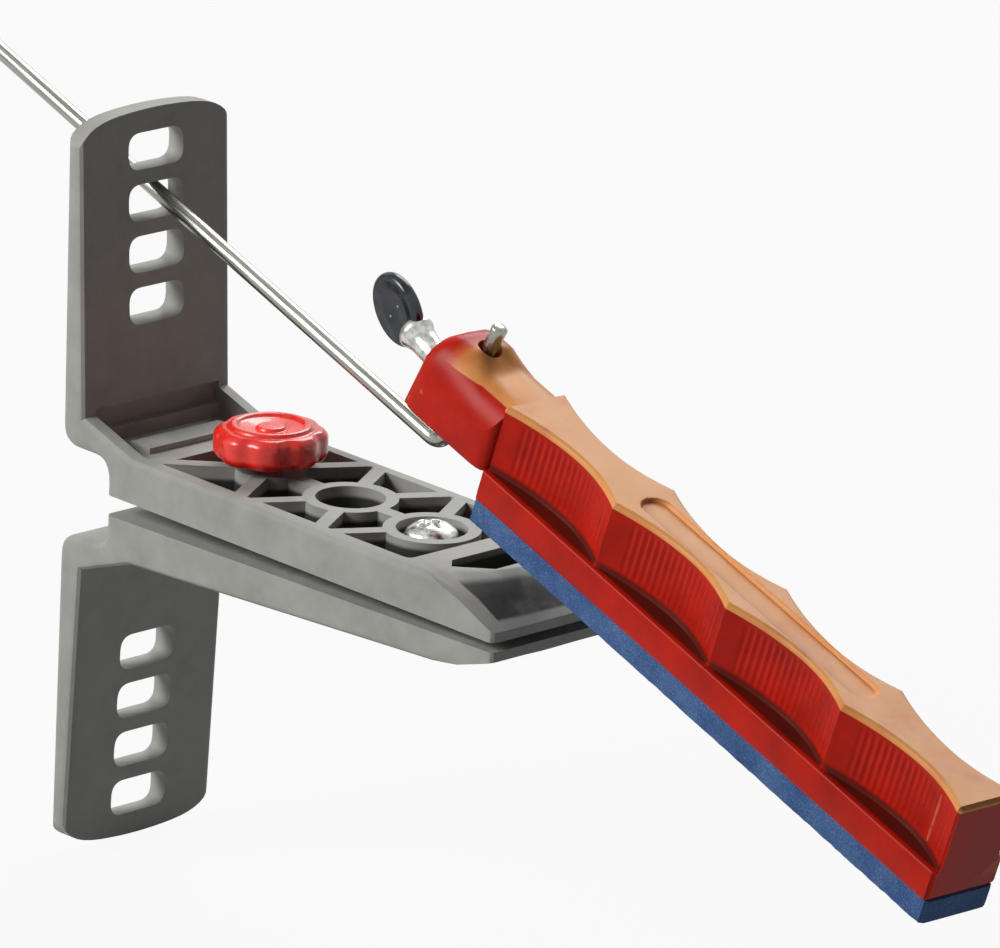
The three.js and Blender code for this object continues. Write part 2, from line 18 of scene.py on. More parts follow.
import bmesh
import bpy
import numpy as np
from bpy.types import ID, ColorRamp, Material, Mesh, Node, NodeSocket, Object, World
from mathutils import Matrix, Vector


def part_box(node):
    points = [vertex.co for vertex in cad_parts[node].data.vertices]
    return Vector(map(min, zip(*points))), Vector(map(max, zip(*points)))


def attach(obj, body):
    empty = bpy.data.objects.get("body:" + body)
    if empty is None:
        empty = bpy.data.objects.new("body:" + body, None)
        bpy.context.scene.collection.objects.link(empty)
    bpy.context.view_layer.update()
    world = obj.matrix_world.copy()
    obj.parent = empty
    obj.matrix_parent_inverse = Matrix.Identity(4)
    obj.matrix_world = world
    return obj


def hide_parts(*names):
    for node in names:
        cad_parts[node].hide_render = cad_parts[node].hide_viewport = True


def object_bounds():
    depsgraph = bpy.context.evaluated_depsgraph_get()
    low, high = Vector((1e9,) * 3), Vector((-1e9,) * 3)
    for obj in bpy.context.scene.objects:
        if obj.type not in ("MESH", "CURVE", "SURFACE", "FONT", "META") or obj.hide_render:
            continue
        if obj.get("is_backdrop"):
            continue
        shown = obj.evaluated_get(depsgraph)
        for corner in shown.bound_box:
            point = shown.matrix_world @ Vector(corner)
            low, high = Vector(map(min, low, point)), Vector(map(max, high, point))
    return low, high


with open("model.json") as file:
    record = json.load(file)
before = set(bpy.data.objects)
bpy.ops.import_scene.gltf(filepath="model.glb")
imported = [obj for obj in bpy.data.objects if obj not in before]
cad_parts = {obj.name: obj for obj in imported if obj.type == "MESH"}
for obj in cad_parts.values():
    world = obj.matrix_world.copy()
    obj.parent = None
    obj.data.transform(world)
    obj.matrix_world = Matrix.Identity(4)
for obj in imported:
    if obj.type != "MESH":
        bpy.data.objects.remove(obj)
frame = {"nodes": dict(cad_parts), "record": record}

MM = 0.001
TURN = 2.0 * math.pi
log = logging.getLogger("hone_clamp")

Array = np.ndarray
Colour = tuple[float, float, float]


class Body(Enum):
    """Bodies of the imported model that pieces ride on."""

    LOWER = "lower_half"
    UPPER = "upper_half"
    JAW_SCREW = "jaw_screw_body"
    KNOB = "knob"
    ROD = "rod"
    HONE = "hone"
    THUMB = "thumb"


# ---- places


@dataclass(frozen=True)
class Axes:
    """Local axes in the frame: an origin in metres and three unit vectors."""

    origin: Array
    x: Array
    y: Array
    z: Array

    def place(self, points: Array) -> Array:
        """Carries local millimetres into the frame's metres."""
        return self.origin + MM * (points @ np.stack([self.x, self.y, self.z]))


def unit(vector: Sequence[float]) -> Array:
    """The vector at length one."""
    array = np.array(vector, float)
    return array / np.linalg.norm(array)


def joint(name: str) -> Mapping[str, Any]:
    """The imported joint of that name."""
    return next(row for row in frame["record"]["behaviour"]["joints"] if row["name"] == name)


def upright_axes(joint_name: str) -> Axes:
    """Axes on a joint of the clamp, square to the frame, with its origin at height zero.

    Args:
        joint_name: The joint whose place gives the origin's X and Y.

    Returns:
        Axes parallel to the frame's.
    """
    place = joint(joint_name)["pos_m"]
    return Axes(np.array([place[0], place[1], 0.0]), *np.eye(3))


def hone_axes() -> Axes:
    """Axes of the rod and hone: x along the rod to the hone's tail, z up from the rod.

    Returns:
        Axes with the origin where the rod's two legs cross.
    """
    along = unit(joint("rod_stroke")["axis"])
    stub = unit(joint("hone_swing")["axis"])
    up = unit(stub - (stub @ along) * along)
    return Axes(np.array(joint("hone_swing")["pos_m"]), along, np.cross(up, along), up)


def stub_lean() -> float:
    """Angle of the rod's short leg from square to its long one, in radians."""
    axes, stub = hone_axes(), unit(joint("hone_swing")["axis"])
    return math.atan2(stub @ axes.x, stub @ axes.z)


# ---- surfaces


def smooth_step(low: float, high: float, value: Array) -> Array:
    """Zero below low, one above high, and a cubic ease between them."""
    t = np.clip((value - low) / (high - low), 0.0, 1.0)
    return t * t * (3.0 - 2.0 * t)


def eased_path(corners: Sequence[tuple[float, float]], radii: Sequence[float], steps: int = 6) -> Array:
    """A polyline whose corners are rounded by quadratic arcs.

    Each inner corner P is replaced by the curve from a point at the radius before it to a point
    at the radius after it, (1-t)^2 A + 2t(1-t) P + t^2 B.

    Args:
        corners: The path's corners as pairs.
        radii: The radius at each inner corner.
        steps: Points on each rounded corner.

    Returns:
        The points of the path, one row each.
    """
    points = np.array(corners, float)
    t = np.linspace(0.0, 1.0, steps)[:, None]
    parts = [points[:1]]
    for index, radius in enumerate(radii, start=1):
        corner = points[index]
        before = corner + radius * unit(points[index - 1] - corner)
        after = corner + radius * unit(points[index + 1] - corner)
        parts.append((1 - t) ** 2 * before + 2 * t * (1 - t) * corner + t * t * after)
    parts.append(points[-1:])
    return np.concatenate(parts)


def filled_path(path: Array, spacing: float) -> Array:
    """The same path with points added, so that none lie further apart than the spacing."""
    lengths = np.linalg.norm(np.diff(path, axis=0), axis=1)
    counts = np.maximum(1, np.ceil(lengths / spacing).astype(int))
    starts = np.repeat(path[:-1], counts, axis=0)
    ends = np.repeat(path[1:], counts, axis=0)
    first = np.repeat(np.cumsum(counts) - counts, counts)
    share = (np.arange(counts.sum()) - first) / np.repeat(counts, counts)
    return np.concatenate([starts + (ends - starts) * share[:, None], path[-1:]])


def full_turn(count: int) -> Array:
    """Evenly spaced angles."""
    return np.linspace(0.0, TURN, count, endpoint=False)


def revolved(profile: Array, segments: int) -> Array:
    """Rings of a lathe: the point (r, z) turned by angle a is (r cos a, r sin a, z).

    Args:
        profile: Rows of radius and height.
        segments: Points round each ring.

    Returns:
        Points as rows, segments, 3.
    """
    angle = full_turn(segments)
    radius, height = profile[:, :1], profile[:, 1:2]
    return np.stack([radius * np.cos(angle), radius * np.sin(angle), height + 0.0 * angle], axis=-1)


def added(name: str, data: ID) -> Object:
    """A new object with that name and data, linked into the scene."""
    thing = bpy.data.objects.new(name, data)
    bpy.context.scene.collection.objects.link(thing)
    return thing


def closed_mesh(name: str, rings: Array, axes: Axes, sharp_degrees: float) -> Object:
    """A closed body from rings that wrap round, with one flat face on each end ring.

    Point (i, j) joins (i+1, j) and (i, j+1), and j wraps.

    Args:
        name: The piece's name.
        rings: Points as rings, points round, 3, in local millimetres.
        axes: The local axes.
        sharp_degrees: Edges that turn by more than this stay crisp.

    Returns:
        The new object.
    """
    rows, cols = rings.shape[:2]
    i, j = np.meshgrid(np.arange(rows - 1), np.arange(cols), indexing="ij")
    near, far, right = i * cols, (i + 1) * cols, (j + 1) % cols
    faces = np.stack([near + j, near + right, far + right, far + j], axis=-1).reshape(-1, 4)
    ends = [list(range(cols))[::-1], list(range((rows - 1) * cols, rows * cols))]
    mesh = bpy.data.meshes.new(name)
    mesh.from_pydata(axes.place(rings.reshape(-1, 3)).tolist(), [], faces.tolist() + ends)
    settle(mesh, sharp_degrees)
    return added(name, mesh)


def settle(mesh: Mesh, sharp_degrees: float) -> None:
    """Merges doubles, turns faces outward and shades the mesh smooth up to an angle.

    Args:
        mesh: The mesh to finish.
        sharp_degrees: Edges that turn by more than this stay crisp.
    """
    work = bmesh.new()
    work.from_mesh(mesh)
    bmesh.ops.remove_doubles(work, verts=work.verts, dist=1e-7)
    bmesh.ops.dissolve_degenerate(work, edges=work.edges, dist=1e-8)
    bmesh.ops.recalc_face_normals(work, faces=work.faces)
    work.to_mesh(mesh)
    work.free()
    mesh.shade_smooth()
    mesh.set_sharp_from_angle(angle=math.radians(sharp_degrees))


def cut(piece: Object, cutter: Object) -> None:
    """Takes the cutter's shape out of the piece for good, and removes the cutter."""
    change = piece.modifiers.new("cut", "BOOLEAN")
    change.operation = "DIFFERENCE"
    change.solver = "EXACT"
    change.object = cutter
    made = bpy.data.meshes.new_from_object(piece.evaluated_get(bpy.context.evaluated_depsgraph_get()))
    piece.modifiers.clear()
    piece.data = made
    bpy.data.objects.remove(cutter)


def finish_piece(
    piece: Object, body: Body, slot: str, finish: Finish, *nodes: str
) -> None:
    """Dresses a piece, lets it ride on its body and hides the CAD nodes that it replaces.

    Args:
        piece: The piece.
        body: The body that carries it.
        slot: The record's material slot; not used.
        finish: The finish it wears.
        *nodes: CAD nodes that it replaces.
    """
    piece.data.materials.clear()
    piece.data.materials.append(finish.material())
    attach(piece, body.value)
    if nodes:
        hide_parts(*nodes)
    log.info("%s: %d faces on %s", piece.name, len(piece.data.polygons), body.value)


# ---- shader maths


class Shade:
    """A shader socket that Python's operators turn into Math nodes."""

    def __init__(self, bench: Bench, socket: NodeSocket) -> None:
        """Keeps the socket and the bench that its nodes go on."""
        self.bench = bench
        self.socket = socket

    def _with(self, operation: str, first: Any, second: Any) -> Shade:
        """One Math node on two values or sockets."""
        return self.bench.value("ShaderNodeMath", "Value", {0: first, 1: second}, operation=operation)

    def __add__(self, other: Any) -> Shade:
        """Sum."""
        return self._with("ADD", self, other)

    __radd__ = __add__

    def __sub__(self, other: Any) -> Shade:
        """Difference."""
        return self._with("SUBTRACT", self, other)

    def __rsub__(self, other: Any) -> Shade:
        """Difference the other way round."""
        return self._with("SUBTRACT", other, self)

    def __mul__(self, other: Any) -> Shade:
        """Product."""
        return self._with("MULTIPLY", self, other)

    __rmul__ = __mul__

    def at_most(self, other: Any) -> Shade:
        """The smaller of the two."""
        return self._with("MINIMUM", self, other)

    def at_least(self, other: Any) -> Shade:
        """The larger of the two."""
        return self._with("MAXIMUM", self, other)

    def between(self, low: float, high: float, to_low: float = 0.0, to_high: float = 1.0) -> Shade:
        """Maps low..high to to_low..to_high, eased and held at both ends."""
        inputs = {0: self, 1: low, 2: high, 3: to_low, 4: to_high}
        return self.bench.value("ShaderNodeMapRange", "Result", inputs, interpolation_type="SMOOTHSTEP")


class Bench:
    """The node tree of a new material or world, laid out node by node."""

    def __init__(self, made: Material | World) -> None:
        """Opens the tree, and keeps a material's Principled shader, which everything feeds."""
        made.use_nodes = True
        self.made = made
        self.tree = made.node_tree
        self.shader = self.tree.nodes.get("Principled BSDF")

    @cached_property
    def place(self) -> NodeSocket:
        """The object's own coordinates."""
        return self.node("ShaderNodeTexCoord").outputs["Object"]

    def node(
        self, kind: str, settings: Mapping[str, Any] | None = None, inputs: Mapping | None = None
    ) -> Node:
        """Adds a node, sets it up, and gives its sockets values or links.

        Args:
            kind: The node's type.
            settings: Its settings, which are set first; "stops" fills a colour ramp.
            inputs: A value, a socket or a Shade for each socket.

        Returns:
            The node.
        """
        node = self.tree.nodes.new(kind)
        for key, value in (settings or {}).items():
            if key == "stops":
                self._set_stops(node.color_ramp, value)
            else:
                setattr(node, key, value)
        self.feed(node, inputs or {})
        return node

    @staticmethod
    def _set_stops(ramp: ColorRamp, stops: Sequence[tuple[float, Colour]]) -> None:
        """Fills a colour ramp with pairs of position and colour."""
        while len(ramp.elements) < len(stops):
            ramp.elements.new(1.0)
        for element, (position, colour) in zip(ramp.elements, stops):
            element.position = position
            element.color = (*colour, 1.0)

    def feed(self, node: Node, inputs: Mapping[int | str, Any]) -> None:
        """Gives a node's sockets their values or links."""
        for key, value in inputs.items():
            source = value.socket if isinstance(value, Shade) else value
            if isinstance(source, NodeSocket):
                self.tree.links.new(source, node.inputs[key])
            elif isinstance(source, tuple) and len(source) == 3 and node.inputs[key].type == "RGBA":
                node.inputs[key].default_value = (*source, 1.0)
            else:
                node.inputs[key].default_value = source

    def value(self, kind: str, output: str, inputs: Mapping[int | str, Any], **settings: Any) -> Shade:
        """One output of a new node, ready for arithmetic."""
        return Shade(self, self.node(kind, settings, inputs).outputs[output])

    def noise(self, size_mm: float, detail: float = 3.0, rough: float = 0.5, place: Any = None) -> Shade:
        """Noise whose features are about that many millimetres across."""
        inputs = {"Vector": place or self.place, "Scale": 1.0 / (size_mm * MM)}
        return self.value("ShaderNodeTexNoise", "Fac", {**inputs, "Detail": detail, "Roughness": rough})

    def worn_edges(self, low: float, high: float) -> Shade:
        """One on outer edges and zero on flats, from the surface's own curvature."""
        return self.value("ShaderNodeNewGeometry", "Pointiness", {}).between(low, high)

    def along(self, direction: Array) -> Shade:
        """The object's coordinate along a fixed direction, in metres."""
        inputs = {0: self.place, 1: tuple(map(float, direction))}
        return self.value("ShaderNodeVectorMath", "Value", inputs, operation="DOT_PRODUCT")

    def local(self, axes: Axes) -> tuple[Shade, ...]:
        """The object's three coordinates in local axes, in metres."""
        return tuple(self.along(axis) - float(axes.origin @ axis) for axis in (axes.x, axes.y, axes.z))

    def seen(self) -> Shade:
        """One to rays from the camera, from gloss and through glass, and zero to all others."""
        rays = self.node("ShaderNodeLightPath").outputs
        kinds = ("Camera", "Glossy", "Transmission")
        camera, glossy, clear = (Shade(self, rays[f"Is {kind} Ray"]) for kind in kinds)
        return (camera + glossy + clear).at_most(1.0)

    def joined(self, x: Any, y: Any, z: Any) -> NodeSocket:
        """A vector from three numbers or sockets."""
        return self.node("ShaderNodeCombineXYZ", {}, {0: x, 1: y, 2: z}).outputs[0]

    def colours(self, factor: Any, stops: Sequence[tuple[float, Colour]]) -> NodeSocket:
        """A colour ramp over a factor."""
        return self.node("ShaderNodeValToRGB", {"stops": stops}, {0: factor}).outputs[0]

    def mixed(self, factor: Any, first: Any, second: Any) -> NodeSocket:
        """Two colours mixed by a factor."""
        inputs = {0: factor, 6: first, 7: second}
        return self.node("ShaderNodeMix", {"data_type": "RGBA"}, inputs).outputs[2]

    def bump(self, height: Any, depth_mm: float, strength: float) -> None:
        """Raises the shader's normal by a height of 0 to 1 over that many millimetres."""
        inputs = {"Height": height, "Distance": depth_mm * MM, "Strength": strength}
        self.feed(self.shader, {"Normal": self.node("ShaderNodeBump", {}, inputs).outputs[0]})

    def coat(self, **inputs: Any) -> Material:
        """Sets the shader's own sockets, named with spaces as underscores, and gives the material."""
        self.feed(self.shader, {key.replace("_", " "): value for key, value in inputs.items()})
        return self.made


class Finish:
    """A finish that makes its material once."""

    name: str

    def material(self) -> Material:
        """The finish's material, made on first use."""
        name = f"{self.name}_finish"
        return bpy.data.materials.get(name) or self.make(Bench(bpy.data.materials.new(name)))

    def make(self, bench: Bench) -> Material:
        """Builds the material's nodes."""
        raise NotImplementedError


@dataclass(frozen=True)
class CastAluminium(Finish):
    """Die-cast grey metal: fine grain, faint clouding and painted shade in the pockets."""

    name: str = "cast_aluminium"
    dark: Colour = (0.31, 0.31, 0.285)
    light: Colour = (0.42, 0.418, 0.388)
    # Painted shade: the near-black that the pocket floors are darkened to.
    pocket_shade: Colour = (0.022, 0.021, 0.019)
    pocket_low: float = 9.7
    pocket_high: float = 12.8
    pocket_half: float = 12.1
    pocket_rear: float = -42.4

    def make(self, bench: Bench) -> Material:
        """Grain and clouding choose the grey, and painted shade darkens the pockets within the arm's rims.
        """
        cloud = bench.noise(6.0, 4.0, 0.6)
        grain = bench.noise(0.16, 2.0, 0.6)
        grey = bench.colours(cloud * 0.7 + grain * 0.3, [(0.3, self.dark), (0.62, self.light)])
        bench.bump(grain, 0.03, 0.5)
        x, y, z = (bench.along(axis) for axis in np.eye(3))
        # Painted shade in the pockets: between the pocket heights, inside the rims and ahead of the rear,
        # mottled by the clouding.
        deep = z.between((self.pocket_low - 0.4) * MM, self.pocket_low * MM)
        deep = deep * z.between(self.pocket_high * MM, (self.pocket_high + 0.8) * MM, 1.0, 0.0)
        inner = y.at_least(y * -1.0).between((self.pocket_half - 0.3) * MM, self.pocket_half * MM, 1.0, 0.0)
        ahead = x.between((self.pocket_rear - 0.3) * MM, self.pocket_rear * MM)
        pocket_shade_mask = deep * inner * ahead * cloud.between(0.2, 0.5, 0.6, 0.95)
        return bench.coat(
            Base_Color=bench.mixed(pocket_shade_mask, grey, self.pocket_shade),
            Metallic=0.05,
            Roughness=cloud.between(0.3, 0.7, 0.46, 0.60),
            Specular_IOR_Level=0.2,
        )


@dataclass(frozen=True)
class RubbedEdge(Finish):
    """The casting's edges, rubbed brighter than its faces."""

    name: str = "rubbed_edge"
    dull: Colour = (0.42, 0.42, 0.39)
    bright: Colour = (0.68, 0.68, 0.65)

    def make(self, bench: Bench) -> Material:
        """Patches of wear choose between dull and bright."""
        wear = bench.noise(1.6, 3.0, 0.6)
        return bench.coat(
            Base_Color=bench.colours(wear, [(0.35, self.dull), (0.6, self.bright)]),
            Metallic=0.05,
            Roughness=wear.between(0.3, 0.7, 0.5, 0.38),
            Specular_IOR_Level=0.2,
        )


@dataclass(frozen=True)
class PlatedSteel(Finish):
    """Bright plated steel with a few dull patches."""

    name: str = "plated_steel"
    bright: Colour = (0.72, 0.72, 0.70)
    dull: Colour = (0.42, 0.42, 0.40)

    def make(self, bench: Bench) -> Material:
        """Patches of noise choose between bright and dull."""
        patch = bench.noise(1.2, 4.0, 0.6)
        bench.bump(bench.noise(0.1, 2.0), 0.006, 0.4)
        return bench.coat(
            Base_Color=bench.colours(patch, [(0.35, self.dull), (0.6, self.bright)]),
            Metallic=1.0,
            Roughness=patch.between(0.3, 0.7, 0.2, 0.38),
        )


@dataclass(frozen=True)
class DrawnSteel(Finish):
    """A drawn rod: bright, with fine lines along its length."""

    name: str = "drawn_steel"
    bright: Colour = (0.38, 0.39, 0.345)
    line: Colour = (0.22, 0.23, 0.195)
    stretch: float = 40.0

    def make(self, bench: Bench) -> Material:
        """Noise that is stretched along the rod makes the drawing lines."""
        axes = hone_axes()
        along, across, up = (bench.along(axis) for axis in (axes.x, axes.y, axes.z))
        place = bench.joined(along * (1.0 / self.stretch), across, up)
        line = bench.noise(0.18, 3.0, 0.6, place)
        bench.bump(line, 0.003, 0.4)
        return bench.coat(
            Base_Color=bench.colours(line, [(0.3, self.line), (0.6, self.bright)]),
            Metallic=1.0,
            Roughness=line.between(0.2, 0.8, 0.18, 0.34),
        )


@dataclass(frozen=True)
class KnobPlastic(Finish):
    """Glossy bright red moulding."""

    name: str = "knob_plastic"
    deep: Colour = (0.80, 0.012, 0.006)
    bright: Colour = (0.96, 0.030, 0.014)
    scuffed: Colour = (0.95, 0.30, 0.22)

    def make(self, bench: Bench) -> Material:
        """Soft clouding in the red, and lightly scuffed edges."""
        cloud = bench.noise(3.0, 3.0, 0.5)
        scuff = bench.worn_edges(0.52, 0.62) * bench.noise(0.4, 3.0).between(0.35, 0.65)
        red = bench.colours(cloud, [(0.3, self.deep), (0.65, self.bright)])
        bench.bump(bench.noise(0.5, 2.0), 0.02, 0.25)
        return bench.coat(
            Base_Color=bench.mixed(scuff * 0.35, red, self.scuffed),
            Roughness=cloud.between(0.2, 0.8, 0.22, 0.34),
            Coat_Weight=0.3,
        )


@dataclass(frozen=True)
class HolderPlastic(Finish):
    """Satin red moulding, paler where it is rubbed, with a painted highlight over its top and painted shade
    on the ledges over the rail.
    """

    name: str = "holder_plastic"
    deep: Colour = (0.40, 0.008, 0.002)
    red: Colour = (0.58, 0.014, 0.003)
    rubbed: Colour = (0.72, 0.24, 0.10)
    # Painted highlight: the pale tan that stands in for the glare on the holder's top.
    painted_top_highlight: Colour = (0.92, 0.42, 0.13)
    # Painted shade: the near-black of the shadowed ledges over the rail.
    painted_ledge_shade: Colour = (0.045, 0.010, 0.005)
    top_height: float = 16.75
    highlight_start: float = 6.0
    tail: float = 116.4
    ledge_height: float = 6.9
    ledge_half: float = 6.0

    def make(self, bench: Bench) -> Material:
        """Clouded red with paler rubbed edges, a painted highlight on the top, painted shade on the ledges
        over the rail and a fine grain.
        """
        cloud = bench.noise(7.0, 4.0, 0.6)
        fine = bench.noise(0.25, 2.0, 0.5)
        red = bench.colours(cloud, [(0.3, self.deep), (0.65, self.red)])
        edge = bench.worn_edges(0.54, 0.64) * bench.noise(1.2, 3.0).between(0.2, 0.6)
        bench.bump(fine, 0.015, 0.4)
        onward, across, height = bench.local(hone_axes())
        top, ledge, half, tail = (
            size * MM for size in (self.top_height, self.ledge_height, self.ledge_half, self.tail)
        )
        # Painted highlight over the top face, fading in just past the rod and varied by noise.
        top_highlight = height.between(top, top + 0.2 * MM) * onward.between(0.5 * MM, self.highlight_start * MM)
        top_highlight = top_highlight * bench.noise(9.0, 4.0, 0.6).between(0.2, 0.55, 0.6, 0.9)
        # Painted shade on the rail's ledges in the finger grooves, short of the tail.
        low = height.between(ledge - 0.1 * MM, ledge)
        low = low * height.between(ledge + 0.5 * MM, ledge + 1.6 * MM, 1.0, 0.0)
        low = low * across.at_least(across * -1.0).between(half - 0.5 * MM, half, 1.0, 0.0)
        low = low * onward.between(tail - 0.4 * MM, tail - 0.15 * MM, 1.0, 0.0)
        wear_and_shade = bench.mixed(edge * 0.5, red, self.rubbed)
        wear_and_shade = bench.mixed(low * 0.85, wear_and_shade, self.painted_ledge_shade)
        return bench.coat(
            Base_Color=bench.mixed(top_highlight, wear_and_shade, self.painted_top_highlight),
            Roughness=cloud.between(0.2, 0.8, 0.30, 0.42),
            Specular_IOR_Level=0.14,
        )


@dataclass(frozen=True)
class BlueAbrasive(Finish):
    """Bonded blue grit with dark and pale specks."""

    name: str = "blue_abrasive"
    dark: Colour = (0.018, 0.045, 0.13)
    blue: Colour = (0.042, 0.11, 0.29)
    pale: Colour = (0.13, 0.22, 0.40)
    grit_size: float = 0.22

    def make(self, bench: Bench) -> Material:
        """Grit cells and clouding choose among three blues; the grit is raised."""
        cells = {"Vector": bench.place, "Scale": 1.0 / (self.grit_size * MM)}
        grit = bench.value("ShaderNodeTexVoronoi", "Distance", cells)
        cloud = bench.noise(5.0, 4.0, 0.6)
        mix = grit * 0.5 + cloud * 0.6
        bench.bump(grit, 0.07, 0.8)
        return bench.coat(
            Base_Color=bench.colours(mix, [(0.28, self.dark), (0.52, self.blue), (0.85, self.pale)]),
            Roughness=0.9,
        )


@dataclass(frozen=True)
class DarkSteel(Finish):
    """Polished blackened steel, brighter where it is rubbed."""

    name: str = "dark_steel"
    black: Colour = (0.025, 0.028, 0.034)
    smoky: Colour = (0.07, 0.075, 0.085)
    rubbed: Colour = (0.62, 0.63, 0.60)

    def make(self, bench: Bench) -> Material:
        """Edges rubbed to bright metal, and smoky clouding elsewhere."""
        cloud = bench.noise(2.0, 3.0, 0.5)
        edge = bench.worn_edges(0.53, 0.64)
        smoke = bench.colours(cloud, [(0.3, self.black), (0.7, self.smoky)])
        bench.bump(bench.noise(0.3, 2.0), 0.008, 0.3)
        return bench.coat(
            Base_Color=bench.mixed(edge, smoke, self.rubbed),
            Metallic=0.85,
            Roughness=cloud.between(0.2, 0.8, 0.16, 0.30),
        )


# ---- clamp


@dataclass
class ClampHalf:
    """One cast half of the clamp, with soft edges on every rib, slot and rim."""

    node: str
    piece_name: str
    body: Body
    finish: CastAluminium
    edge_radius: float = 0.3
    edge_steps: int = 2
    edge_angle: float = 28.0
    merge_distance: float = 2e-6

    def build(self) -> None:
        """Merges a copy of the CAD casting and rounds its edges."""
        mesh = frame["nodes"][self.node].data.copy()
        mesh.name = self.piece_name
        work = bmesh.new()
        work.from_mesh(mesh)
        bmesh.ops.remove_doubles(work, verts=work.verts, dist=self.merge_distance)
        bmesh.ops.dissolve_degenerate(work, edges=work.edges, dist=self.merge_distance)
        work.to_mesh(mesh)
        work.free()
        mesh.shade_smooth()
        casting = added(self.piece_name, mesh)
        bevel = casting.modifiers.new("cast edges", "BEVEL")
        bevel.width = self.edge_radius * MM
        bevel.segments = self.edge_steps
        bevel.limit_method = "ANGLE"
        bevel.angle_limit = math.radians(self.edge_angle)
        bevel.miter_outer = "MITER_ARC"
        bevel.material = 1
        weighted = casting.modifiers.new("flat shading", "WEIGHTED_NORMAL")
        weighted.weight = 100
        weighted.keep_sharp = False
        finish_piece(casting, self.body, "cast_aluminium", self.finish, self.node)
        mesh.materials.append(RubbedEdge().material())


@dataclass(frozen=True)
class Thread:
    """A plated screw thread: its outer radius, the depth of its groove and its rise in one turn."""

    radius: float
    depth: float
    pitch: float
    segments: int = 40
    steps_per_turn: int = 12
    point: float = 0.8

    def build(self, name: str, axes: Axes, low: float, high: float, body: Body, node: str) -> None:
        """Builds the thread between two heights, with a tapered foot.

        The radius at height z and angle a is radius - depth (0.5 - 0.5 cos(z / pitch - a)), in turns.

        Args:
            name: The piece's name.
            axes: The screw's axes.
            low: Lowest height.
            high: Highest height.
            body: The body that carries it.
            node: The CAD node that it helps to replace.
        """
        count = int((high - low) / self.pitch * self.steps_per_turn) + 2
        height = np.linspace(low, high, count)[:, None]
        angle = full_turn(self.segments)
        groove = 0.5 - 0.5 * np.cos(TURN * height / self.pitch - angle)
        taper = 1.0 - smooth_step(0.0, self.pitch * self.point, height - low)
        ring = self.radius - self.depth * (groove + taper)
        rings = np.stack([ring * np.cos(angle), ring * np.sin(angle), height + 0.0 * angle], axis=-1)
        finish_piece(closed_mesh(name, rings, axes, 60.0), body, "plated_steel", PlatedSteel(), node)


@dataclass
class JawScrew:
    """Cross-recessed pan-head screw that hinges the two halves together."""

    head_radius: float = 4.0
    head_height: float = 2.4
    head_drop: float = 0.3
    shank: Thread = Thread(1.95, 0.32, 0.7)
    drive_half_width: float = 0.55
    drive_reach: float = 2.4
    drive_run_out: float = 0.9
    drive_soft: float = 0.28
    drive_depth: float = 1.3
    segments: int = 96

    def build(self) -> None:
        """Builds the head and the threaded shank."""
        axes = upright_axes("jaw_screw_turn")
        low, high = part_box("jaw_screw")
        foot, top = low[2] / MM, high[2] / MM
        seat = top - self.head_height - self.head_drop
        radius, shoulder = self.head_radius, seat + self.head_height * 0.55
        corners = [(0.01, seat), (radius, seat), (radius, shoulder), (radius * 0.55, top), (0.01, top)]
        rings = revolved(filled_path(eased_path(corners, [0.25, 0.8, 1.2]), 0.12), self.segments)
        rings[..., 2] -= self._recess(rings, seat + self.head_height * 0.5)
        head = closed_mesh("jaw_screw_head", rings, axes, 50.0)
        finish_piece(head, Body.JAW_SCREW, "plated_steel", PlatedSteel(), "jaw_screw")
        self.shank.build("jaw_screw_shank", axes, foot, seat + 0.1, Body.JAW_SCREW, "jaw_screw")

    def _recess(self, rings: Array, floor: float) -> Array:
        """Depth of the cross recess: the deeper of two bars, each with sloped walls.

        A bar is one where its short coordinate is under the half width and its long one is
        under the reach, and both ease off over a few tenths.

        Args:
            rings: The head's points.
            floor: Only points above this height sink.

        Returns:
            How far each point goes down.
        """
        x, y = np.abs(rings[..., 0]), np.abs(rings[..., 1])
        edge, soft, reach = self.drive_half_width, self.drive_soft, self.drive_reach
        bars = [
            (1.0 - smooth_step(edge - soft, edge + soft, short))
            * (1.0 - smooth_step(reach - self.drive_run_out, reach, long))
            for short, long in ((x, y), (y, x))
        ]
        return self.drive_depth * np.maximum(*bars) * (rings[..., 2] > floor)


